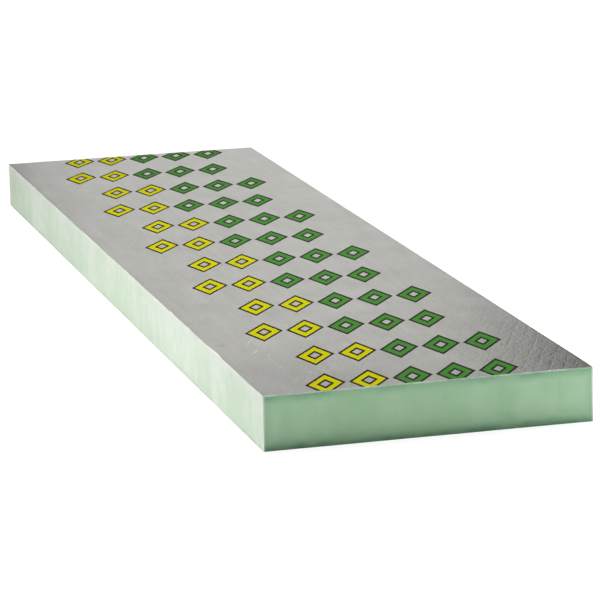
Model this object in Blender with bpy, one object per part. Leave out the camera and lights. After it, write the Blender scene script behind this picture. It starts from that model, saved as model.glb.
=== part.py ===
"""A foil-faced rigid foam insulation board, lying flat.

The board is a slab of rigid foam between two sheets of aluminium laminate. The foam was laid down
between the sheets and bonded itself to both, and the slab was then sawn square on all four sides.

Frame: metres, +X across the width, +Y along the length, +Z up. The origin is under the middle of
the board, on the surface that it lies on.
"""

import math

import bmesh
import bpy
from mathutils import Vector

# Driving sizes of the board.
BOARD_LENGTH = 2.400
BOARD_WIDTH = 0.600
BOARD_THICKNESS = 0.100

# The laminate, and the line between it and the foam.
FACING_THICKNESS = 0.0004
BOND_GAP = 0.0003

# The saw presses the long edges down: the foam is rounded there, and the laminate rolls over it.
FOAM_EDGE_RADIUS = 0.003
FOAM_EDGE_TURN = math.radians(55)
ARC_STEPS = 6

# What the sizes above give.
HALF_WIDTH = BOARD_WIDTH / 2
FOAM_BOTTOM = FACING_THICKNESS + BOND_GAP
FOAM_TOP = BOARD_THICKNESS - FOAM_BOTTOM
EDGE_RUN = FOAM_EDGE_RADIUS * math.sin(FOAM_EDGE_TURN)

FOAM_COLOUR = (0.275, 0.445, 0.290, 1.0)
FOIL_COLOUR = (0.430, 0.425, 0.405, 1.0)


def clear_scene():
    for old in list(bpy.data.objects):
        bpy.data.objects.remove(old)


def make_material(name, colour, roughness, metallic):
    material = bpy.data.materials.new(name)
    material.use_nodes = True
    shader = material.node_tree.nodes["Principled BSDF"]
    shader.inputs["Base Color"].default_value = colour
    shader.inputs["Roughness"].default_value = roughness
    shader.inputs["Metallic"].default_value = metallic
    material.diffuse_color = colour
    return material


def right_edge_arc(offset):
    """The rolled long edge at +X, as (x, z) from the flat top to the sawn side.

    offset is how far the surface lies outside the foam. Every surface ends on the same sawn plane.
    """
    radius = FOAM_EDGE_RADIUS + offset
    centre_x = HALF_WIDTH - EDGE_RUN
    centre_z = FOAM_TOP - FOAM_EDGE_RADIUS
    turn = math.asin(EDGE_RUN / radius)
    angles = [turn * step / ARC_STEPS for step in range(ARC_STEPS + 1)]
    return [(centre_x + radius * math.sin(a), centre_z + radius * math.cos(a)) for a in angles]


def upper_surface(offset):
    """The whole upper surface at that offset from the foam, from the -X side to the +X side."""
    right = right_edge_arc(offset)
    left = [(-x, z) for x, z in reversed(right)]
    return left + right


def turned_over(outline):
    """The same outline on the other face of the board."""
    return [(x, BOARD_THICKNESS - z) for x, z in outline]


def foam_outline():
    upper = upper_surface(0.0)
    return upper + turned_over(reversed(upper))


def top_facing_outline():
    outside = upper_surface(BOND_GAP + FACING_THICKNESS)
    inside = upper_surface(BOND_GAP)
    return outside + list(reversed(inside))


def extrude_along_board(name, outline, material):
    """One closed body: the cross-section outline swept from the front end to the back end."""
    shape = bmesh.new()
    front_y = -BOARD_LENGTH / 2
    corners = [shape.verts.new((x, front_y, z)) for x, z in outline]
    front = shape.faces.new(corners)
    swept = bmesh.ops.extrude_face_region(shape, geom=[front])["geom"]
    moved = [item for item in swept if isinstance(item, bmesh.types.BMVert)]
    bmesh.ops.translate(shape, verts=moved, vec=Vector((0.0, BOARD_LENGTH, 0.0)))
    bmesh.ops.recalc_face_normals(shape, faces=shape.faces)
    mesh = bpy.data.meshes.new(name)
    shape.to_mesh(mesh)
    shape.free()
    mesh.materials.append(material)
    mesh.shade_smooth()
    mesh.set_sharp_from_angle(angle=math.radians(30))
    body = bpy.data.objects.new(name, mesh)
    bpy.context.scene.collection.objects.link(body)
    return body


def main():
    clear_scene()
    foam = make_material("rigid_foam", FOAM_COLOUR, 0.85, 0.0)
    foil = make_material("aluminium_laminate", FOIL_COLOUR, 0.38, 1.0)
    extrude_along_board("foam_core", foam_outline(), foam)
    extrude_along_board("top_facing", top_facing_outline(), foil)
    extrude_along_board("bottom_facing", turned_over(top_facing_outline()), foil)


main()
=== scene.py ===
# A foil-faced rigid foam insulation board, lying flat in a pale studio.
# The frame gives its sizes. The foam slab and its two facings are modelled here with their sawn
# faces, crumbled edges, creases and crinkle, and stand for the plain solids of the frame.

import math

import bmesh
import bpy
from mathutils import Matrix, Vector, noise


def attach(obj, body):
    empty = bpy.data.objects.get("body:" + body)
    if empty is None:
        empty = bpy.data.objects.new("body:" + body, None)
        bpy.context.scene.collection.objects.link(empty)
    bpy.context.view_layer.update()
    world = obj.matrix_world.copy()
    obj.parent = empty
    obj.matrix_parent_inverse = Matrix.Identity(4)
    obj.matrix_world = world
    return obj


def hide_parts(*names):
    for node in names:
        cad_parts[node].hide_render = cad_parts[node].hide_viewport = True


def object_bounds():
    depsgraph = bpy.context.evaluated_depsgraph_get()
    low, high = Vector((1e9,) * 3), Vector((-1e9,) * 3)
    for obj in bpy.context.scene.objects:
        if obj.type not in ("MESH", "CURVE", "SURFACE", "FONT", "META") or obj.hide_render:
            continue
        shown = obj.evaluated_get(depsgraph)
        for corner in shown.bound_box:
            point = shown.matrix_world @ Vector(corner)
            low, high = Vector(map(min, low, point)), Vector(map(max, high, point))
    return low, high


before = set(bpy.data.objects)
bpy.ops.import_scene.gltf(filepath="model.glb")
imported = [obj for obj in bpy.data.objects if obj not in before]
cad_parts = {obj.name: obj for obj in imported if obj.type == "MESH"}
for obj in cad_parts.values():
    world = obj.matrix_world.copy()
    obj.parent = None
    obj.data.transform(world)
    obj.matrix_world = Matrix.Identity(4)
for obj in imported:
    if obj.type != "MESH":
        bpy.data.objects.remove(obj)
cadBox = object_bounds()
halfWidth = cadBox[1].x
halfLength = cadBox[1].y
boardHeight = cadBox[1].z
boardSize = [round(side, 3) for side in (2 * halfWidth, 2 * halfLength, boardHeight)]
print("frame loaded: board of", boardSize)


def linearColour(hexCode):
    # sRGB hex to the linear colour that the shaders read
    parts = [int(hexCode[i:i + 2], 16) / 255 for i in (1, 3, 5)]
    return tuple(p / 12.92 if p <= 0.04045 else ((p + 0.055) / 1.055) ** 2.4 for p in parts) + (1.0,)


def addNode(tree, kind, inputs, output=0, **settings):
    # Adds a node and gives back one of its outputs. An input that is a socket is linked, a hex colour
    # is made linear, and any other is a plain value. The settings are the node's own choices.
    node = tree.nodes.new("ShaderNode" + kind)
    for name, value in settings.items():
        setattr(node, name, value)
    for name, value in inputs.items():
        if isinstance(value, bpy.types.NodeSocket):
            tree.links.new(value, node.inputs[name])
        else:
            node.inputs[name].default_value = linearColour(value) if isinstance(value, str) else value
    return node.outputs[output] if node.outputs else None


def newMaterial(name):
    material = bpy.data.materials.new(name)
    material.use_nodes = True
    material.node_tree.nodes.clear()
    return material, material.node_tree


def smoothStep(low, high, value):
    t = min(max((value - low) / (high - low), 0.0), 1.0)
    return t * t * (3 - 2 * t)


def wobble(*place):
    # Smooth noise from 0 to 1 at a place given in noise cells. Where it is called, what multiplies x, y
    # or z is the number of cells in a metre, and a plain number picks a pattern of its own.
    return 0.5 + 0.5 * noise.noise(Vector(place))


def spread(share, low, high, edgeShare, edgeRun, crowding):
    # A share from 0 to 1 of the way along a row of points becomes a place between low and high.
    # edgeShare of the points lie within edgeRun of each end, and crowding draws the rest to high.
    if share < edgeShare:
        return low + edgeRun * share / edgeShare
    if share > 1 - edgeShare:
        return high - edgeRun * (1 - share) / edgeShare
    t = (share - edgeShare) / (1 - 2 * edgeShare)
    t += crowding * t * (1 - t)
    return low + edgeRun + (high - low - 2 * edgeRun) * t


def finishPiece(name, shape, materials, node, sharpAngle):
    mesh = bpy.data.meshes.new(name)
    shape.to_mesh(mesh)
    shape.free()
    for material in materials:
        mesh.materials.append(material)
    mesh.shade_smooth()
    mesh.set_sharp_from_angle(angle=math.radians(sharpAngle))
    piece = bpy.data.objects.new(name, mesh)
    bpy.context.scene.collection.objects.link(piece)
    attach(piece, "root")
    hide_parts(node)
    print(name, "made:", len(mesh.polygons), "faces")


# The facing, a sheet of aluminium foil, film and paper laminated together. Metres and degrees.
facing = {
    "thickness": 0.0004,
    "columns": 148,
    "rows": 620,
    "edgeColumns": 8,  # columns in the rolled run at each long edge
    "endRows": 3,  # rows in the crushed run at each end
    "crowdRight": 0.35,  # the mesh is finer at the near right corner, where the creases are deepest
    "crowdNear": -0.45,
    "sharpAngle": 40,  # an edge that turns more than this stays crisp
    "rollRun": 0.0045,  # the long edges roll down over the foam from here
    "rollDrop": 0.00022,
    "crushRun": 0.0020,  # the saw drags the sheet down at the ends
    "crushDrop": 0.00005,
    "waveDepth": 0.00025,  # slow waves left from the laminating line
    "rippleDepth": 0.00022,  # shorter waves along the long edges
    "rippleRun": 0.070,
    "cornerRun": 0.030,  # the near right corner has been knocked and is turned down
    "cornerDrop": 0.0004,
    "endTrim": 0.0022,  # how far the sheet is torn back from the sawn ends
    "sideTrim": 0.0030,
    "nicksOnRight": 0.25,  # the right edge was cut cleaner
    "tornY": -0.86,  # a longer tear on the left long edge
    "tornRun": 0.075,
    "undersideShare": 0.15,  # the weight presses the lower sheet flat, so it keeps less of all this
    "lipRun": 0.012,  # the sheet's inner side follows the outer one this far in, then lies flat
    "lipStep": 0.002,
    "innerDepth": 0.0019,
    "creaseDepth": 0.00001,
    "cornerCreaseDepth": 0.00015,
    "creaseLeast": 0.1,  # the creases come and go in patches, with this share of them left between
}
# The near right corner is the most worn: the wear grows from these places to the corner.
wear = {"fromX": -0.10, "toX": 0.29, "fromY": -0.30, "toY": -1.20, "power": 2}

# Creases over the threads of the net in the laminate: degrees from the board's length, spacing, half
# width, and depth as a share of the deepest.
creases = [
    (25.0, 0.0235, 0.0034, 1.0),
    (-31.0, 0.022, 0.0030, 0.35),
    (84.0, 0.0165, 0.0046, 0.40),
]
# The threads aren't quite straight: they swing to and fro by this share of their spacing
swing = {"perMetreX": 25.0, "perMetreY": 34.0, "share": 0.05}
# Single marks: the middle of each, degrees from the board's length, half length, half width, depth, and
# tone. A scratch bares paler metal, and a tone below 0 is painted shade that makes a hard fold darker.
# First dents on the left, then scratches there, then the folds by the near right corner.
knocks = [
    (-0.227, -0.474, 94.0, 0.017, 0.0075, 0.00050, 0.0),
    (-0.283, -0.820, 51.0, 0.022, 0.0065, 0.00060, 0.0),
    (-0.262, -0.655, 78.0, 0.013, 0.0060, 0.00030, 0.0),
    (0.120, 0.310, 70.0, 0.020, 0.0070, 0.00030, 0.0),
    (-0.221, -0.803, 24.0, 0.034, 0.0028, 0.00004, 0.9),
    (-0.229, -0.880, 27.0, 0.020, 0.0030, 0.00004, 0.8),
    (-0.213, -0.915, 21.0, 0.017, 0.0026, 0.00004, 0.5),
    (-0.144, -0.958, 24.0, 0.020, 0.0024, 0.00004, 0.5),
    (-0.216, -1.005, 30.0, 0.016, 0.0022, 0.00004, 0.4),
    (-0.181, -1.060, -32.0, 0.024, 0.0022, 0.00004, 0.3),
    (-0.252, -0.960, -28.0, 0.026, 0.0024, 0.00004, 0.3),
    (0.239, -1.094, 25.0, 0.034, 0.0026, 0.00010, -0.28),
    (0.240, -1.147, 24.0, 0.036, 0.0028, 0.00012, -0.38),
    (0.268, -1.078, 27.0, 0.026, 0.0024, 0.00010, -0.22),
    (0.259, -1.164, 22.0, 0.030, 0.0024, 0.00010, -0.26),
    (0.290, -1.072, 74.0, 0.012, 0.0060, 0.00014, -0.12),
    (0.280, -1.162, 26.0, 0.026, 0.0026, 0.00012, -0.30),
    (0.214, -1.052, 26.0, 0.022, 0.0024, 0.00006, -0.16),
    (0.205, -0.985, 23.0, 0.018, 0.0024, 0.00006, -0.12),
    (0.286, -0.985, 80.0, 0.014, 0.0060, 0.00012, -0.10),
]


def cornerWear(x, y):
    across = smoothStep(wear["fromX"], wear["toX"], x)
    return (across * smoothStep(wear["fromY"], wear["toY"], y)) ** wear["power"]


def creaseDip(x, y):
    depth = 0.0
    swung = swing["share"] * math.sin(x * swing["perMetreX"] + y * swing["perMetreY"])
    for number, (degrees, spacing, width, share) in enumerate(creases):
        turn = math.radians(degrees)
        across = (x * math.cos(turn) - y * math.sin(turn)) / spacing + swung
        fold = max(0.0, 1 - abs(across - round(across)) * spacing / width)
        patch = smoothStep(0.42, 0.60, wobble(x * 26, y * 24, 9 + number * 5))
        patch = facing["creaseLeast"] + (1 - facing["creaseLeast"]) * patch
        depth += share * patch * fold * fold
    full = facing["cornerCreaseDepth"] * cornerWear(x, y)
    return depth * (facing["creaseDepth"] + full)


def knockDip(x, y):
    dip = 0.0
    for middleX, middleY, degrees, halfRun, width, depth, _ in knocks:
        turn = math.radians(degrees)
        fromX, fromY = x - middleX, y - middleY
        across = fromX * math.cos(turn) - fromY * math.sin(turn)
        along = fromX * math.sin(turn) + fromY * math.cos(turn)
        dip += depth * max(0.0, 1 - math.hypot(across / width, along / halfRun))
    return dip


def facingDip(x, y, upper):
    # how far the facing's surface lies inside its outermost plane
    edge = halfWidth - abs(x)
    end = halfLength - abs(y)
    side = 1 if x > 0 else -1
    roll = max(0.0, 1 - edge / facing["rollRun"]) ** 2
    dip = facing["rollDrop"] * roll * (0.7 + 0.6 * wobble(side * 3, y * 9, 0))
    crush = max(0.0, 1 - end / facing["crushRun"]) ** 2
    dip += facing["crushDrop"] * crush * (0.3 + 1.4 * wobble(x * 45, y, 5))
    dip += facing["waveDepth"] * wobble(x * 6, y * 4, 1)
    nearEdge = smoothStep(facing["rippleRun"], 0.0, edge)
    dip += facing["rippleDepth"] * nearEdge * wobble(side * 7, y * 13, 2)
    fromCorner = math.hypot(halfWidth - x, halfLength + y)
    dip += facing["cornerDrop"] * max(0.0, 1 - fromCorner / facing["cornerRun"]) ** 1.5
    dip += creaseDip(x, y) + knockDip(x, y)
    return dip if upper else dip * facing["undersideShare"]


def trimmed(x, y, upper):
    # the ragged outline that the sheet keeps after sawing, as shares of the full width and length
    side = 1 if x > 0 else -1
    end = 1 if y > 0 else -1
    slowTear = smoothStep(0.30, 0.70, wobble(x * 9, end * 4, 3))
    endTear = 0.35 + 0.30 * slowTear + 0.35 * wobble(x * 90, end * 4, 7)
    nicks = smoothStep(0.56, 0.72, wobble(side * 4, y * 42, 7))
    nicks *= facing["nicksOnRight"] if x > 0 else 1
    sideTear = 0.10 + smoothStep(0.35, 0.65, wobble(side * 4, y * 6, 3)) * (0.10 + 0.80 * nicks)
    if x < 0:
        torn = smoothStep(facing["tornRun"], 0.0, abs(y - facing["tornY"]))
        sideTear = max(sideTear, torn * (0.3 + 1.1 * wobble(y * 80, 2, 4)))
    share = 1 if upper else facing["undersideShare"]
    acrossShare = 1 - share * facing["sideTrim"] * sideTear / halfWidth
    return acrossShare, 1 - facing["endTrim"] * endTear / halfLength


def stepInward(shape, rim, inward, heightAt):
    # grows one row of faces from an open rim towards the middle of the board, and gives back the new
    # rim and the faces
    grown = bmesh.ops.extrude_edge_only(shape, edges=rim)["geom"]
    for vert in [item for item in grown if isinstance(item, bmesh.types.BMVert)]:
        x = vert.co.x * (1 - inward / halfWidth)
        y = vert.co.y * (1 - inward / halfLength)
        vert.co = (x, y, heightAt(x, y))
    newRim = [item for item in grown if isinstance(item, bmesh.types.BMEdge) and item.is_boundary]
    return newRim, [item for item in grown if isinstance(item, bmesh.types.BMFace)]


def buildFacing(name, node, materials, upper):
    sheet = bmesh.new()
    columns, rows = facing["columns"], facing["rows"]
    bmesh.ops.create_grid(sheet, x_segments=columns, y_segments=rows, size=1)
    for vert in sheet.verts:
        x = spread(vert.co.x / 2 + 0.5, -halfWidth, halfWidth, facing["edgeColumns"] / columns,
                   facing["rollRun"], facing["crowdRight"])
        y = spread(vert.co.y / 2 + 0.5, -halfLength, halfLength, facing["endRows"] / rows,
                   facing["crushRun"], facing["crowdNear"])
        acrossShare, alongShare = trimmed(x, y, upper)
        vert.co = (x * acrossShare, y * alongShare, boardHeight - facingDip(x, y, upper))

    def innerHeight(x, y):
        return boardHeight - facingDip(x, y, upper) - facing["thickness"]

    def flatHeight(x, y):
        return boardHeight - facing["innerDepth"]

    # the cut edge, then a lip that follows the sheet's shape, then the flat inner side
    rim = [edge for edge in sheet.edges if edge.is_boundary]
    rim, cut = stepInward(sheet, rim, 0.0, innerHeight)
    for face in cut:
        face.material_index = len(materials) - 1
    rim = stepInward(sheet, rim, facing["lipRun"], innerHeight)[0]
    rim = stepInward(sheet, rim, facing["lipStep"], flatHeight)[0]
    bmesh.ops.contextual_create(sheet, geom=rim)
    bmesh.ops.recalc_face_normals(sheet, faces=sheet.faces)
    if not upper:
        bmesh.ops.scale(sheet, verts=sheet.verts, vec=(1, 1, -1))
        bmesh.ops.translate(sheet, verts=sheet.verts, vec=(0, 0, boardHeight))
        bmesh.ops.reverse_faces(sheet, faces=sheet.faces)
    finishPiece(name, sheet, materials, node, facing["sharpAngle"])


# The foam slab: poured, risen and set between the facings, then sawn square on four sides.
foam = {
    "alongCuts": 560,
    "acrossCuts": 160,
    "heightCuts": 31,
    "cornerRadius": 0.0007,
    "arrisRun": 0.0018,  # the sawn edge crumbles, so it is a narrow slope and not a line
    "arrisDepth": 0.0012,
    "lowerArrisRun": 0.0030,  # the lower one is rubbed on the ground
    "lowerArrisDepth": 0.0019,
    "lowerOnSides": 0.3,  # but hardly on the long sides
    "arrisFade": 0.014,  # the slope runs out this far from the upright corners, which stay sharp
    "arrisAtCorners": 0.25,
    "arrisRows": 4,  # rows of faces in it
    "sawWaveDepth": 0.00018,  # the blade wanders a little
    "chipRun": 0.006,  # chips have come out this near the edges
    "chipDepth": 0.0012,
    "capRun": 0.006,  # under the facing the foam's top goes this far in before it lies flat
    "capStep": 0.002,
    "capDepth": 0.0026,
    "sharpAngle": 50,
}


def foamInset(along, z, wall, onSide, toCorner):
    # How far the foam's wall lies inside its sawn plane. along is the way along the wall, in metres, and
    # each wall has a number, so that no two are alike.
    toEdge = min(z, boardHeight - z) - facing["thickness"]
    inset = foam["sawWaveDepth"] * max(0.0, wobble(along * 9, z * 6, wall))
    kind = "arris" if z > boardHeight / 2 else "lowerArris"
    slope = max(0.0, 1 - toEdge / foam[kind + "Run"]) ** 1.2
    fade = smoothStep(0.0, foam["arrisFade"], toCorner)
    slope *= foam["arrisAtCorners"] + (1 - foam["arrisAtCorners"]) * fade
    depth = foam[kind + "Depth"]
    if kind == "lowerArris" and onSide:
        depth *= foam["lowerOnSides"]
    inset += depth * slope * (0.6 + 0.4 * wobble(along * 55, wall * 5, z * 20))
    chip = smoothStep(0.70, 0.86, wobble(along * 28, z * 26, wall + 20))
    inset += foam["chipDepth"] * chip * smoothStep(foam["chipRun"], 0.0, toEdge)
    return inset


def foamHeight(x, y, upper):
    # the foam reaches up or down to the facing on that side
    gone = facing["thickness"] + facingDip(x, y, upper)
    return boardHeight - gone if upper else gone


def buildFoam(material):
    slab = bmesh.new()
    bmesh.ops.create_cube(slab, size=1)
    bmesh.ops.scale(slab, verts=slab.verts, vec=(2 * halfWidth, 2 * halfLength, 1))
    bmesh.ops.translate(slab, verts=slab.verts, vec=(0, 0, 0.5))
    uprights = [e for e in slab.edges if abs(e.verts[0].co.z - e.verts[1].co.z) > 0.5]
    bmesh.ops.bevel(
        slab, geom=uprights, offset=foam["cornerRadius"], offset_type="OFFSET", affect="EDGES",
        segments=4, profile=0.5, material=-1, clamp_overlap=True,
    )
    # the four walls alone, cut fine and moved to their crumbled shape
    caps = [f for f in slab.faces if abs(f.normal.z) > 0.5]
    bmesh.ops.delete(slab, geom=caps, context="FACES_ONLY")
    sizes = ((0, "acrossCuts", halfWidth), (1, "alongCuts", halfLength), (2, "heightCuts", 0.5))
    for axis, cuts, least in sizes:
        picked = [e for e in slab.edges if abs(e.verts[0].co[axis] - e.verts[1].co[axis]) > least]
        bmesh.ops.subdivide_edges(slab, edges=picked, cuts=foam[cuts], use_grid_fill=True)
    slab.normal_update()
    outward = {v: Vector((v.normal.x, v.normal.y, 0)).normalized() for v in slab.verts}
    arrisShare = foam["arrisRows"] / (foam["heightCuts"] + 1)
    for vert, way in outward.items():
        x, y = vert.co.x, vert.co.y
        bottom, top = foamHeight(x, y, False), foamHeight(x, y, True)
        z = spread(vert.co.z, bottom, top, arrisShare, foam["arrisRun"], 0)
        onSide = abs(way.x) > abs(way.y)
        wall = (1 if onSide else 2) + (way.x + way.y > 0) * 4
        along, toCorner = (y, halfLength - abs(y)) if onSide else (x, halfWidth - abs(x))
        inset = foamInset(along, z, wall, onSide, toCorner)
        vert.co = (x - way.x * inset, y - way.y * inset, z)
    # the top and bottom, which the facings hide
    openEdges = [e for e in slab.edges if e.is_boundary]
    for upper in (True, False):
        rim = [e for e in openEdges if (e.verts[0].co.z > boardHeight / 2) == upper]
        flat = boardHeight - foam["capDepth"] if upper else foam["capDepth"]
        rim = stepInward(slab, rim, foam["capRun"], lambda x, y: foamHeight(x, y, upper))[0]
        rim = stepInward(slab, rim, foam["capStep"], lambda x, y: flat)[0]
        bmesh.ops.contextual_create(slab, geom=rim)
    bmesh.ops.recalc_face_normals(slab, faces=slab.faces)
    finishPiece("foamSlab", slab, [material], "foam_core", foam["sharpAngle"])


# Rigid polyisocyanurate foam, sawn. Millions of closed cells cut open scatter the light: a dull, pale
# green, with faint upright bands where the foam rose and a denser, bluer skin by the facings. The long
# sides are painted paler than the sawn ends, and paler upwards, as painted light for the strong side
# light and grazing sheen on them. Sawn ends keep their colour, with a painted highlight along the top.
foamFinish = {
    "body": "#aed7b0",
    "bodyPale": "#b9debb",
    "skin": "#84bc95",
    "skinDepth": 0.020,
    "skinAtSides": 0.35,  # the skin is thinner by the upright corners
    # painted light: the long sides are paler than the sawn ends, for the strong side light and grazing
    # sheen on them
    "paintedLitSide": "#cde1c9",
    "paintedLitSidePale": "#e3ecdf",
    "litSideReach": 0.0040,  # the paler side colour starts this far from the corner of a sawn end
    "paintedEdgeHighlight": "#eef1ea",  # painted highlight: a pale line along the upper edge, where light catches the arris
    "edgeHighlightReach": 0.0042,
    "edgeHighlightWander": 0.0016,
    "roughness": 0.9,
    "cellSize": 0.0009,  # real cells are 0.2 to 0.4 mm, drawn coarser so that they show
    "cellDepth": 0.0006,
    "bandWidth": 0.055,
    "bandStretch": (1, 0.4, 0.08),  # the bands stand upright, and are wider along the board
    "mottleSize": 0.036,
    "sawPitch": 0.004,
    "sawStretch": (1, 1, 0.02),
    "sawDepth": 0.0008,
    "sawTone": 0.35,  # the saw marks' share in the paler streaks
    "liftPerMetre": 4.5,  # how fast the painted light on the long sides grows paler upwards
}


def makeFoam():
    material, tree = newMaterial("sawnRigidFoam")
    place = addNode(tree, "TexCoord", {}, "Object")
    ways = addNode(tree, "SeparateXYZ", {0: place}).node.outputs
    x, z = ways["X"], ways["Z"]
    stretched = addNode(tree, "Mapping", {"Vector": place, "Scale": foamFinish["bandStretch"]})
    bands = addNode(tree, "TexNoise", {
        "Vector": stretched, "Scale": 1 / foamFinish["bandWidth"], "Detail": 1.0, "Roughness": 0.4})
    mottle = addNode(tree, "TexNoise", {
        "Vector": place, "Scale": 1 / foamFinish["mottleSize"], "Detail": 4.0, "Roughness": 0.6})
    both = addNode(tree, "Math", {0: bands, 1: mottle}, operation="ADD")
    upright = addNode(tree, "Mapping", {"Vector": place, "Scale": foamFinish["sawStretch"]})
    sawing = addNode(tree, "TexNoise", {
        "Vector": upright, "Scale": 1 / foamFinish["sawPitch"], "Detail": 3.0, "Roughness": 0.6})
    streaked = addNode(tree, "Math", {
        0: sawing, 1: foamFinish["sawTone"], 2: both}, operation="MULTIPLY_ADD")
    paleness = addNode(tree, "MapRange", {"Value": streaked, "From Min": 0.95, "From Max": 1.4})
    body = addNode(tree, "Mix", {
        0: paleness, 6: foamFinish["body"], 7: foamFinish["bodyPale"]}, 2, data_type="RGBA")

    # the skin frames a sawn end, ragged along its inner side and missing in places
    fromMiddle = addNode(tree, "Math", {0: z, 1: boardHeight / 2}, operation="SUBTRACT")
    upDown = addNode(tree, "Math", {0: fromMiddle}, operation="ABSOLUTE")
    toSide = addNode(tree, "Math", {0: x}, operation="ABSOLUTE")
    sideways = addNode(tree, "Math", {0: toSide, 1: halfWidth - boardHeight / 2}, operation="SUBTRACT")
    skinEdge = (boardHeight + foamFinish["skinDepth"]) / 2
    skins = []
    for away, most in ((upDown, 1.0), (sideways, foamFinish["skinAtSides"])):
        ragged = addNode(tree, "Math", {
            0: mottle, 1: foamFinish["skinDepth"], 2: away}, operation="MULTIPLY_ADD")
        skins.append(addNode(tree, "MapRange", {
            "Value": ragged, "From Min": skinEdge - foamFinish["skinDepth"], "From Max": skinEdge,
            "To Max": most}, interpolation_type="SMOOTHSTEP"))
    skin = addNode(tree, "Math", {0: skins[0], 1: skins[1]}, operation="MAXIMUM")
    thin = addNode(tree, "MapRange", {"Value": bands, "From Min": 0.35, "From Max": 0.6, "To Min": 0.4})
    skin = addNode(tree, "Math", {0: skin, 1: thin}, operation="MULTIPLY")
    sawn = addNode(tree, "Mix", {0: skin, 6: body, 7: foamFinish["skin"]}, 2, data_type="RGBA")

    # painted light on the long sides: paler than the sawn ends, palest in patches along their upper half
    lift = addNode(tree, "Math", {
        0: fromMiddle, 1: foamFinish["liftPerMetre"], 2: both}, operation="MULTIPLY_ADD")
    sideLightShare = addNode(tree, "MapRange", {"Value": lift, "From Min": 0.75, "From Max": 1.25})
    litSideColour = addNode(tree, "Mix", {
        0: sideLightShare, 6: foamFinish["paintedLitSide"], 7: foamFinish["paintedLitSidePale"]}, 2, data_type="RGBA")
    onSide = addNode(tree, "MapRange", {
        "Value": toSide, "From Min": halfWidth - foamFinish["litSideReach"],
        "From Max": halfWidth - 0.4 * foamFinish["litSideReach"]}, interpolation_type="SMOOTHSTEP")
    faces = addNode(tree, "Mix", {0: onSide, 6: sawn, 7: litSideColour}, 2, data_type="RGBA")
    # painted highlight along the upper edge, in patches; the shaded lower edge gets none
    edgeHighlightLine = addNode(tree, "Math", {
        0: sawing, 1: foamFinish["edgeHighlightWander"], 2: z}, operation="MULTIPLY_ADD")
    paintedEdgeHighlight = addNode(tree, "MapRange", {
        "Value": edgeHighlightLine, "From Min": boardHeight - foamFinish["edgeHighlightReach"] + foamFinish["edgeHighlightWander"],
        "From Max": boardHeight - foamFinish["edgeHighlightWander"] / 2})
    torn = addNode(tree, "MapRange", {
        "Value": mottle, "From Min": 0.38, "From Max": 0.54, "To Min": 0.3})
    paintedEdgeHighlight = addNode(tree, "Math", {0: paintedEdgeHighlight, 1: torn}, operation="MULTIPLY")
    coloured = addNode(tree, "Mix", {0: paintedEdgeHighlight, 6: faces, 7: foamFinish["paintedEdgeHighlight"]}, 2, data_type="RGBA")

    cells = addNode(tree, "TexVoronoi", {"Vector": place, "Scale": 1 / foamFinish["cellSize"]})
    cellBump = addNode(tree, "Bump", {
        "Height": cells, "Strength": 0.25, "Distance": foamFinish["cellDepth"]})
    sawBump = addNode(tree, "Bump", {
        "Height": sawing, "Strength": 0.35, "Distance": foamFinish["sawDepth"], "Normal": cellBump})
    shader = addNode(tree, "BsdfPrincipled", {
        "Base Color": coloured, "Roughness": foamFinish["roughness"], "Normal": sawBump, "IOR": 1.5,
        "Specular IOR Level": 0.3, "Sheen Weight": 0.25, "Sheen Roughness": 0.6})
    addNode(tree, "OutputMaterial", {0: shader})
    return material


# Aluminium laminate: rolled foil under a clear lacquer. A satin grey metal with rolling streaks, a net
# of fine creases and small scuffs. The upper side has plain leaning rhombus rings printed in three inks.
foilFinish = {
    "foil": "#e2e1db",
    "dullFoil": "#dcdbd4",
    "nearLeftShadeFoil": "#c9c8c2",  # painted shade: the near left end is darker, for a darker reflection there
    "nearLeftShadeX": 0.10,
    "nearLeftShadeRun": 0.42,
    "cutEdge": "#e4e6da",  # paper and film show where the laminate is cut
    "roughness": 0.40,
    "smoother": 0.02,  # the roughness goes this far down and up with the streaks
    "rougher": 0.03,
    "streakWidth": 0.011,
    "streakStretch": (1, 0.05, 1),
    "cloudSize": 0.070,
    "crinkleWidth": 0.0042,  # the threads under the foil show as fine strokes that cross
    "crinkleLength": 0.034,
    "crinkleHeight": 0.00070,
    "crinkleOnRight": 0.22,
    "crinkleFar": 0.5,
    "creaseHeight": 0.00023,
    "creasePatch": 0.025,  # the size of the patches that they come in
    "creaseFaint": 0.24,  # away from the worn corner the creases hardly show
    "foldShadeShare": 0.36,  # painted shade: darker in the folds
    # painted shade over the worn corner
    "cornerShadeShare": 0.12,
    # the colour of the painted shade
    "paintedShadeColour": "#8b8a86",
    "puckerSize": 0.010,  # towards the worn corner the foil is puckered too
    "puckerHeight": 0.0008,
    "puckerFade": 0.35,  # the power that the wear is taken to: low spreads the puckers far
    "puckersFar": 0.32,  # and a little all over
    "scuffWidth": 0.0030,
    "scuffLength": 0.075,
    "scuffAngle": 25.0,
    "scuffTone": 0.45,
    # the pale of the scuffs, and the painted highlight on the pleat's crest
    "scuffAndHighlight": "#f6f6f3",
    "knockTone": 2.0,  # how strongly the single marks are drawn
    "pleatX": -0.138,  # a thin pleat runs in from the near end, its crest painted pale as a highlight
    "pleatLength": 0.95,
    "pleatWidth": 0.0030,
    "pleatHeight": 0.0004,
    "pleatHighlightTone": 0.7,
    "cutFibresPerMetre": 700.0,
    "cutFibreDepth": 0.0003,
}
printed = {
    "left": -0.215,  # where the first motif of a row starts, in from the left long edge
    "spacing": 0.079,
    "motifs": 5,
    "yellowMotifs": 2,
    "pitch": 0.210,  # from one row to the next
    "width": 0.074,  # each motif is a rhombus with a hole
    "length": 0.150,
    "lean": 0.25,
    "hole": 0.26,  # as a share of the rhombus
    "outline": 0.18,
    "yellow": "#c2be00",
    "green": "#438032",
    "dark": "#2b2723",
    "inkRoughness": 0.55,
    "inkMetal": 0.20,  # the foil glints through the ink
}


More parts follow.
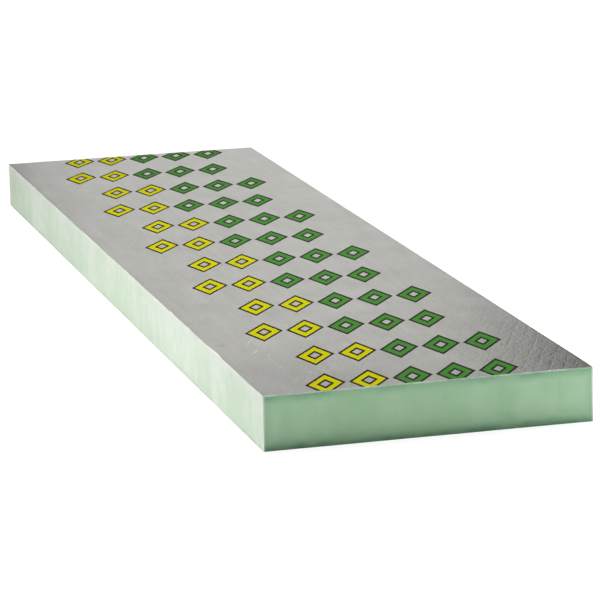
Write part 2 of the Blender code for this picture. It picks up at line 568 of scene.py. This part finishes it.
def printedMotifs(tree, x, y):
    # the number of the motif at each place along its row, and how far out from its middle the place is:
    # 0 in the middle and 1 on its edge
    rows = addNode(tree, "Math", {0: y, 1: printed["pitch"]}, operation="DIVIDE")
    row = addNode(tree, "Math", {0: rows}, operation="FLOOR")
    turn = addNode(tree, "Math", {0: rows}, operation="FRACT")
    v = addNode(tree, "Math", {0: turn, 1: 0.5}, operation="SUBTRACT")
    leaned = addNode(tree, "Math", {
        0: v, 1: -printed["lean"] * printed["pitch"], 2: x}, operation="MULTIPLY_ADD")
    fromLeft = addNode(tree, "Math", {0: leaned, 1: printed["left"]}, operation="SUBTRACT")
    columns = addNode(tree, "Math", {0: fromLeft, 1: printed["spacing"]}, operation="DIVIDE")
    # every second row starts half a motif further in
    odd = addNode(tree, "Math", {0: row, 1: 1.0}, operation="PINGPONG")
    shifted = addNode(tree, "Math", {0: odd, 1: -0.5, 2: columns}, operation="MULTIPLY_ADD")
    column = addNode(tree, "Math", {0: shifted}, operation="FLOOR")
    local = addNode(tree, "Math", {0: shifted}, operation="FRACT")
    u = addNode(tree, "Math", {0: local, 1: 0.5}, operation="SUBTRACT")
    farU = addNode(tree, "Math", {0: u}, operation="ABSOLUTE")
    farV = addNode(tree, "Math", {0: v}, operation="ABSOLUTE")
    partU = addNode(tree, "Math", {
        0: farU, 1: 2 * printed["spacing"] / printed["width"]}, operation="MULTIPLY")
    out = addNode(tree, "Math", {
        0: farV, 1: 2 * printed["pitch"] / printed["length"], 2: partU}, operation="MULTIPLY_ADD")
    return column, out


def creaseHeight(tree, x, y, place):
    # the same creases as in the sheet's shape, drawn fine
    total = None
    patches = addNode(tree, "TexNoise", {
        "Vector": place, "Scale": 1 / foilFinish["creasePatch"], "Detail": 2.0})
    patches = addNode(tree, "MapRange", {
        "Value": patches, "From Min": 0.44, "From Max": 0.58, "To Min": facing["creaseLeast"]})
    swung = addNode(tree, "Math", {0: x, 1: swing["perMetreX"]}, operation="MULTIPLY")
    swung = addNode(tree, "Math", {0: y, 1: swing["perMetreY"], 2: swung}, operation="MULTIPLY_ADD")
    swung = addNode(tree, "Math", {0: swung}, operation="SINE")
    swung = addNode(tree, "Math", {0: swung, 1: swing["share"]}, operation="MULTIPLY")
    for degrees, spacing, width, share in creases:
        turn = math.radians(degrees)
        partX = addNode(tree, "Math", {
            0: x, 1: math.cos(turn) / spacing, 2: swung}, operation="MULTIPLY_ADD")
        across = addNode(tree, "Math", {
            0: y, 1: -math.sin(turn) / spacing, 2: partX}, operation="MULTIPLY_ADD")
        nearest = addNode(tree, "Math", {0: across, 1: 0.5}, operation="PINGPONG")
        fold = addNode(tree, "MapRange", {
            "Value": nearest, "From Max": 0.5 * width / spacing, "To Min": -share, "To Max": 0.0})
        total = addNode(tree, "Math", {0: fold, 1: total}, operation="ADD") if total else fold
    return addNode(tree, "Math", {0: total, 1: patches}, operation="MULTIPLY")


def pleatRidge(tree, x, y):
    # 1 along the pleat's crest, fading out down the board
    fromPleat = addNode(tree, "Math", {0: x, 1: foilFinish["pleatX"]}, operation="SUBTRACT")
    fromPleat = addNode(tree, "Math", {0: fromPleat}, operation="ABSOLUTE")
    ridge = addNode(tree, "MapRange", {
        "Value": fromPleat, "From Max": foilFinish["pleatWidth"] / 2, "To Min": 1.0, "To Max": 0.0})
    run = addNode(tree, "MapRange", {
        "Value": y, "From Min": -halfLength, "From Max": foilFinish["pleatLength"] - halfLength,
        "To Min": 1.0, "To Max": 0.0})
    return addNode(tree, "Math", {0: ridge, 1: run}, operation="MULTIPLY")


def wearMask(tree, x, y):
    # cornerWear again, for the material
    across = addNode(tree, "MapRange", {
        "Value": x, "From Min": wear["fromX"], "From Max": wear["toX"]}, interpolation_type="SMOOTHSTEP")
    along = addNode(tree, "MapRange", {
        "Value": y, "From Min": wear["toY"], "From Max": wear["fromY"], "To Min": 1.0, "To Max": 0.0},
        interpolation_type="SMOOTHSTEP")
    both = addNode(tree, "Math", {0: across, 1: along}, operation="MULTIPLY")
    return addNode(tree, "Math", {0: both, 1: wear["power"]}, operation="POWER")


def knockMarks(tree, place):
    # the single marks again, for the material: their height in metres and their tone
    height, tones = 0.0, 0.0
    for middleX, middleY, degrees, halfRun, width, depth, tone in knocks:
        turn = math.radians(-degrees)
        local = addNode(tree, "Mapping", {
            "Vector": place, "Location": (middleX, middleY, boardHeight), "Rotation": (0, 0, turn),
            "Scale": (width, halfRun, 1)}, vector_type="TEXTURE")
        mark = addNode(tree, "TexGradient", {"Vector": local}, 1, gradient_type="SPHERICAL")
        height = addNode(tree, "Math", {0: mark, 1: -depth, 2: height}, operation="MULTIPLY_ADD")
        if tone:
            tones = addNode(tree, "Math", {
                0: mark, 1: foilFinish["knockTone"] * tone, 2: tones}, operation="MULTIPLY_ADD")
    return height, tones


def shadeAndScuffColour(tree, colour, place, x, y, creased, worn, tones, ridge):
    # painted shade: the upper side is darker at the near left
    onLeft = addNode(tree, "MapRange", {
        "Value": x, "From Min": -halfWidth / 2, "From Max": foilFinish["nearLeftShadeX"], "To Min": 1.0,
        "To Max": 0.0})
    near = addNode(tree, "MapRange", {
        "Value": y, "From Min": -halfLength, "From Max": foilFinish["nearLeftShadeRun"] - halfLength,
        "To Min": 1.0, "To Max": 0.0}, interpolation_type="SMOOTHSTEP")
    nearLeftShading = addNode(tree, "Math", {0: onLeft, 1: near}, operation="MULTIPLY")
    colour = addNode(tree, "Mix", {
        0: nearLeftShading, 6: colour, 7: foilFinish["nearLeftShadeFoil"]}, 2, data_type="RGBA")

    # painted shade in the folds, over the worn corner and on the hard folds with a tone below 0
    paintedShadeShare = addNode(tree, "Math", {0: worn, 1: foilFinish["cornerShadeShare"]}, operation="MULTIPLY")
    paintedShadeShare = addNode(tree, "Math", {
        0: creased, 1: -foilFinish["foldShadeShare"], 2: paintedShadeShare}, operation="MULTIPLY_ADD")
    paintedShadeShare = addNode(tree, "Math", {0: paintedShadeShare, 1: tones}, operation="SUBTRACT", use_clamp=True)
    colour = addNode(tree, "Mix", {0: paintedShadeShare, 6: colour, 7: foilFinish["paintedShadeColour"]}, 2, data_type="RGBA")

    # fine pale scuffs, where the board was pulled from the stack, and the pleat's crest painted pale as
    # a highlight
    slanted = addNode(tree, "Mapping", {
        "Vector": place, "Rotation": (0, 0, math.radians(-foilFinish["scuffAngle"])),
        "Scale": (foilFinish["scuffWidth"], foilFinish["scuffLength"], 1)}, vector_type="TEXTURE")
    strokes = addNode(tree, "TexNoise", {
        "Vector": slanted, "Scale": 1.0, "Detail": 1.0, "Roughness": 0.5})
    strokes = addNode(tree, "MapRange", {
        "Value": strokes, "From Min": 0.60, "From Max": 0.80, "To Max": foilFinish["scuffTone"]})
    scuffs = addNode(tree, "Math", {0: onLeft, 1: strokes}, operation="MULTIPLY")
    scuffs = addNode(tree, "Math", {0: scuffs, 1: tones}, operation="ADD")
    marks = addNode(tree, "Math", {
        0: ridge, 1: foilFinish["pleatHighlightTone"], 2: scuffs}, operation="MULTIPLY_ADD", use_clamp=True)
    return addNode(tree, "Mix", {0: marks, 6: colour, 7: foilFinish["scuffAndHighlight"]}, 2, data_type="RGBA")


def printedInks(tree, x, y):
    # Where there is ink, and its colour. Outline, ink, outline and the bare hole follow one another
    # inwards on each motif.
    column, out = printedMotifs(tree, x, y)
    middle = (1 + printed["hole"]) / 2
    halfRing = (1 - printed["hole"]) / 2
    fromRing = addNode(tree, "Math", {0: out, 1: middle}, operation="SUBTRACT")
    fromRing = addNode(tree, "Math", {0: fromRing}, operation="ABSOLUTE")
    fill = addNode(tree, "Math", {0: fromRing, 1: halfRing - printed["outline"]}, operation="LESS_THAN")
    drawn = addNode(tree, "Math", {0: fromRing, 1: halfRing}, operation="LESS_THAN")
    fromMiddle = addNode(tree, "Math", {
        0: column, 1: (printed["motifs"] - 1) / 2}, operation="SUBTRACT")
    fromMiddle = addNode(tree, "Math", {0: fromMiddle}, operation="ABSOLUTE")
    within = addNode(tree, "Math", {0: fromMiddle, 1: printed["motifs"] / 2}, operation="LESS_THAN")
    inked = addNode(tree, "Math", {0: drawn, 1: within}, operation="MULTIPLY")
    later = addNode(tree, "Math", {
        0: column, 1: printed["yellowMotifs"] - 0.5}, operation="GREATER_THAN")
    ink = addNode(tree, "Mix", {
        0: later, 6: printed["yellow"], 7: printed["green"]}, 2, data_type="RGBA")
    inks = addNode(tree, "Mix", {0: fill, 6: printed["dark"], 7: ink}, 2, data_type="RGBA")
    return inked, inks


def foilBump(tree, place, x, y, creased, worn):
    # creases, then puckers, then the crinkle, each laid over the last
    normal = addNode(tree, "Bump", {
        "Height": creased, "Strength": 1.0, "Distance": foilFinish["creaseHeight"]})
    puckers = addNode(tree, "TexNoise", {
        "Vector": place, "Scale": 1 / foilFinish["puckerSize"], "Detail": 2.0, "Roughness": 0.5})
    loose = addNode(tree, "Math", {0: worn, 1: foilFinish["puckerFade"]}, operation="POWER")
    loose = addNode(tree, "Math", {0: loose, 1: foilFinish["puckersFar"]}, operation="MAXIMUM")
    puckers = addNode(tree, "Math", {0: puckers, 1: loose}, operation="MULTIPLY")
    normal = addNode(tree, "Bump", {
        "Height": puckers, "Strength": 1.0, "Distance": foilFinish["puckerHeight"], "Normal": normal})
    # the crinkle is stretched flat along the right side and towards the far end
    flatter = addNode(tree, "MapRange", {
        "Value": x, "From Min": -halfWidth / 2, "From Max": halfWidth / 2, "To Min": 1.0,
        "To Max": foilFinish["crinkleOnRight"]})
    further = addNode(tree, "MapRange", {
        "Value": y, "From Min": -halfLength, "From Max": 0.0, "To Min": 1.0,
        "To Max": foilFinish["crinkleFar"]})
    shallow = addNode(tree, "Math", {0: flatter, 1: further}, operation="MULTIPLY")
    stroke = (foilFinish["crinkleWidth"], foilFinish["crinkleLength"], 1)
    for degrees in [crease[0] for crease in creases]:
        turn = math.radians(-degrees)
        turned = addNode(tree, "Mapping", {
            "Vector": place, "Rotation": (0, 0, turn), "Scale": stroke}, vector_type="TEXTURE")
        crinkle = addNode(tree, "TexNoise", {
            "Vector": turned, "Scale": 1.0, "Detail": 2.0, "Roughness": 0.6})
        crinkle = addNode(tree, "Math", {0: crinkle, 1: shallow}, operation="MULTIPLY")
        normal = addNode(tree, "Bump", {
            "Height": crinkle, "Strength": 1.0, "Distance": foilFinish["crinkleHeight"],
            "Normal": normal})
    return normal


def makeFoil(name, isPrinted):
    material, tree = newMaterial(name)
    place = addNode(tree, "TexCoord", {}, "Object")
    ways = addNode(tree, "SeparateXYZ", {0: place}).node.outputs
    x, y = ways["X"], ways["Y"]
    rolled = addNode(tree, "Mapping", {"Vector": place, "Scale": foilFinish["streakStretch"]})
    streaks = addNode(tree, "TexNoise", {
        "Vector": rolled, "Scale": 1 / foilFinish["streakWidth"], "Detail": 4.0, "Roughness": 0.6})
    cloud = addNode(tree, "TexNoise", {
        "Vector": place, "Scale": 1 / foilFinish["cloudSize"], "Detail": 5.0, "Roughness": 0.6})
    blend = addNode(tree, "Math", {0: streaks, 1: cloud}, operation="ADD")
    dull = addNode(tree, "MapRange", {"Value": blend, "From Min": 0.75, "From Max": 1.25})
    colour = addNode(tree, "Mix", {
        0: dull, 6: foilFinish["foil"], 7: foilFinish["dullFoil"]}, 2, data_type="RGBA")
    roughness = addNode(tree, "MapRange", {
        "Value": blend, "From Min": 0.7, "From Max": 1.3,
        "To Min": foilFinish["roughness"] - foilFinish["smoother"],
        "To Max": foilFinish["roughness"] + foilFinish["rougher"]})
    metal = 1.0
    creased = creaseHeight(tree, x, y, place)
    worn = wearMask(tree, x, y)
    sharper = addNode(tree, "MapRange", {"Value": worn, "To Min": foilFinish["creaseFaint"]})
    creased = addNode(tree, "Math", {0: creased, 1: sharper}, operation="MULTIPLY")
    normal = foilBump(tree, place, x, y, creased, worn)
    if isPrinted:
        knocked, tones = knockMarks(tree, place)
        ridge = pleatRidge(tree, x, y)
        colour = shadeAndScuffColour(tree, colour, place, x, y, creased, worn, tones, ridge)
        inked, inks = printedInks(tree, x, y)
        colour = addNode(tree, "Mix", {0: inked, 6: colour, 7: inks}, 2, data_type="RGBA")
        roughness = addNode(tree, "Mix", {0: inked, 2: roughness, 3: printed["inkRoughness"]})
        metal = addNode(tree, "Mix", {0: inked, 2: metal, 3: printed["inkMetal"]})
        normal = addNode(tree, "Bump", {
            "Height": knocked, "Strength": 1.0, "Distance": 1.0, "Normal": normal})
        normal = addNode(tree, "Bump", {
            "Height": ridge, "Strength": 1.0, "Distance": foilFinish["pleatHeight"], "Normal": normal})
    shader = addNode(tree, "BsdfPrincipled", {
        "Base Color": colour, "Metallic": metal, "Roughness": roughness, "Normal": normal,
        "Specular IOR Level": 0.0})
    addNode(tree, "OutputMaterial", {0: shader})
    return material


def makeCutEdge():
    material, tree = newMaterial("cutLaminateEdge")
    place = addNode(tree, "TexCoord", {}, "Object")
    fibres = addNode(tree, "TexNoise", {
        "Vector": place, "Scale": foilFinish["cutFibresPerMetre"], "Detail": 2.0})
    bump = addNode(tree, "Bump", {
        "Height": fibres, "Strength": 0.3, "Distance": foilFinish["cutFibreDepth"]})
    shader = addNode(tree, "BsdfPrincipled", {
        "Base Color": foilFinish["cutEdge"], "Roughness": 0.8, "Normal": bump})
    addNode(tree, "OutputMaterial", {0: shader})
    return material


buildFoam(makeFoam())
buildFacing(
    "upperFacing", "top_facing", [makeFoil("printedAluminiumLaminate", True), makeCutEdge()], True)
buildFacing("lowerFacing", "bottom_facing", [makeFoil("plainAluminiumLaminate", False)], False)

# The studio: a pale floor, a white surround and soft lamps. A level of 1 is white.
studio = {
    "floorSize": 80.0,
    "floorBelow": 0.0004,
    "floorColour": "#f4f4f2",
    "floorShown": 0.90,  # what the camera sees of the floor in full shadow, near the board
    "floorShade": 0.26,
    "floorWhiteFrom": 2.0,  # further out the floor fades to white
    "floorWhiteTo": 5.0,
    "surround": 0.10,  # the light that comes from all around
    "backdrop": 1.0,  # what the foil mirrors low down
    "ceiling": 0.50,  # and high up
    "backdropTo": 0.12,  # as the sine of the angle above the floor
    "ceilingFrom": 0.65,
    "leftSide": 0.88,  # the backdrop's level on the left, as a share
    "leftTo": 0.05,  # as the sine of the angle to the right of straight back
    "rightFrom": 0.30,
}
# Dark cloths that hang behind the board for the foil to mirror: from and to along X, then Y and height
flags = [
    (2.0, 8.0, 4.0, 6.0),
    (-1.6, 0.0, 3.0, 3.0),
]
# Name, place, target, size, power in watts, spread in degrees, and whether it lights the floor alone.
# floorWash does, and its bounce lights the board: straight on, the right side would clip.
lamps = [
    ("overheadSoftbox", (-0.3, 0.0, 3.2), (0.0, -0.5, 0.1), 0.95, 120.0, 180, False),
    ("floorWash", (2.95, -0.72, 1.32), (0.1, -2.0, 0.0), 0.50, 12.2, 60, True),
    ("leftSoftbox", (-3.3, -1.0, 1.2), (0.0, -0.75, 0.05), 1.6, 36.0, 180, False),
    ("rightFill", (0.66, -1.44, 0.04), (0.3, -1.25, 0.02), 0.12, 0.46, 180, False),
]


def plainPlane(name, width, length, place, material):
    plane = bmesh.new()
    bmesh.ops.create_grid(plane, x_segments=1, y_segments=1, size=0.5)
    bmesh.ops.scale(plane, verts=plane.verts, vec=(width, length, 1))
    bmesh.ops.transform(plane, matrix=place, verts=plane.verts)
    mesh = bpy.data.meshes.new(name)
    plane.to_mesh(mesh)
    plane.free()
    mesh.materials.append(material)
    piece = bpy.data.objects.new(name, mesh)
    bpy.context.scene.collection.objects.link(piece)
    return piece


def buildFloor():
    material, tree = newMaterial("matteWhiteFloor")
    path = addNode(tree, "LightPath", {}).node.outputs
    seen = addNode(tree, "Math", {
        0: path["Is Camera Ray"], 1: path["Is Glossy Ray"]}, operation="MAXIMUM")
    seen = addNode(tree, "Math", {0: seen, 1: path["Is Transmission Ray"]}, operation="MAXIMUM")
    matte = addNode(tree, "BsdfDiffuse", {"Color": studio["floorColour"]})
    shade = studio["floorShade"]
    faint = addNode(tree, "BsdfDiffuse", {"Color": (shade, shade, shade, 1)})
    place = addNode(tree, "TexCoord", {}, "Object")
    distance = addNode(tree, "VectorMath", {0: place}, "Value", operation="LENGTH")
    white = addNode(tree, "MapRange", {
        "Value": distance, "From Min": studio["floorWhiteFrom"], "From Max": studio["floorWhiteTo"],
        "To Min": studio["floorShown"], "To Max": 1.0}, interpolation_type="SMOOTHSTEP")
    glow = addNode(tree, "Emission", {"Color": (1, 1, 1, 1), "Strength": white})
    shown = addNode(tree, "AddShader", {0: faint, 1: glow})
    shader = addNode(tree, "MixShader", {0: seen, 1: matte, 2: shown})
    addNode(tree, "OutputMaterial", {0: shader})
    size = studio["floorSize"]
    lowered = Matrix.Translation((0, 0, -studio["floorBelow"]))
    return plainPlane("studioFloor", size, size, lowered, material)


def hangFlags():
    material, tree = newMaterial("blackCloth")
    addNode(tree, "OutputMaterial", {0: addNode(tree, "BsdfDiffuse", {"Color": "#101010"})})
    upright = Matrix.Rotation(math.radians(90), 4, "X")
    for fromX, toX, y, height in flags:
        place = Matrix.Translation(((fromX + toX) / 2, y, height / 2)) @ upright
        flag = plainPlane("darkFlag", toX - fromX, height, place, material)
        flag.visible_camera = False
        flag.visible_diffuse = False
        flag.visible_shadow = False


def lightStudio(floor):
    world = bpy.data.worlds.new("studio")
    bpy.context.scene.world = world
    world.use_nodes = True
    tree = world.node_tree
    tree.nodes.clear()
    path = addNode(tree, "LightPath", {}).node.outputs
    way = addNode(tree, "TexCoord", {}, "Generated")
    height = addNode(tree, "SeparateXYZ", {0: way}, 2)
    falloff = addNode(tree, "MapRange", {
        "Value": height, "From Min": studio["backdropTo"], "From Max": studio["ceilingFrom"],
        "To Min": studio["backdrop"], "To Max": studio["ceiling"]}, interpolation_type="SMOOTHSTEP")
    across = addNode(tree, "SeparateXYZ", {0: way}, 0)
    sideways = addNode(tree, "MapRange", {
        "Value": across, "From Min": studio["leftTo"], "From Max": studio["rightFrom"],
        "To Min": studio["leftSide"], "To Max": 1.0}, interpolation_type="SMOOTHSTEP")
    falloff = addNode(tree, "Math", {0: falloff, 1: sideways}, operation="MULTIPLY")
    mirrored = addNode(tree, "Math", {
        0: path["Is Glossy Ray"], 1: path["Is Transmission Ray"]}, operation="MAXIMUM")
    level = addNode(tree, "Mix", {0: mirrored, 2: studio["surround"], 3: falloff})
    shown = addNode(tree, "Mix", {0: path["Is Camera Ray"], 2: level, 3: 1.0})
    sky = addNode(tree, "Background", {"Color": (1, 1, 1, 1), "Strength": shown})
    addNode(tree, "OutputWorld", {0: sky})
    floorAlone = bpy.data.collections.new("floorAlone")
    floorAlone.objects.link(floor)
    for name, place, target, size, power, spreadAngle, onFloorAlone in lamps:
        data = bpy.data.lights.new(name, "AREA")
        data.size = size
        data.energy = power
        data.spread = math.radians(spreadAngle)
        lamp = bpy.data.objects.new(name, data)
        lamp.location = place
        lamp.rotation_euler = (Vector(target) - Vector(place)).to_track_quat("-Z", "Y").to_euler()
        lamp.visible_glossy = False  # the foil mirrors the backdrop alone
        lamp.visible_camera = False
        bpy.context.scene.collection.objects.link(lamp)
        if onFloorAlone:
            lamp.light_linking.receiver_collection = floorAlone


# The camera stands low in front of the near end, a little to the left, with a long lens.
view = {
    "place": (-1.6526, -6.5029, 1.4867),
    "azimuth": -15.020,
    "down": 12.571,
    "roll": -1.342,
    "lens": 198.05,
    "sensor": 36.0,
}


def placeCamera():
    data = bpy.data.cameras.new("camera")
    data.lens = view["lens"]
    data.sensor_width = view["sensor"]
    data.clip_end = 100.0
    camera = bpy.data.objects.new("camera", data)
    turn = Matrix.Rotation(math.radians(view["azimuth"]), 4, "Z")
    tilt = Matrix.Rotation(math.radians(90 - view["down"]), 4, "X")
    roll = Matrix.Rotation(math.radians(view["roll"]), 4, "Z")
    camera.matrix_world = Matrix.Translation(view["place"]) @ turn @ tilt @ roll
    bpy.context.scene.collection.objects.link(camera)
    bpy.context.scene.camera = camera


studioFloor = buildFloor()
hangFlags()
lightStudio(studioFloor)
placeCamera()
bpy.context.scene.view_settings.view_transform = "Standard"
print("studio lit and camera placed")
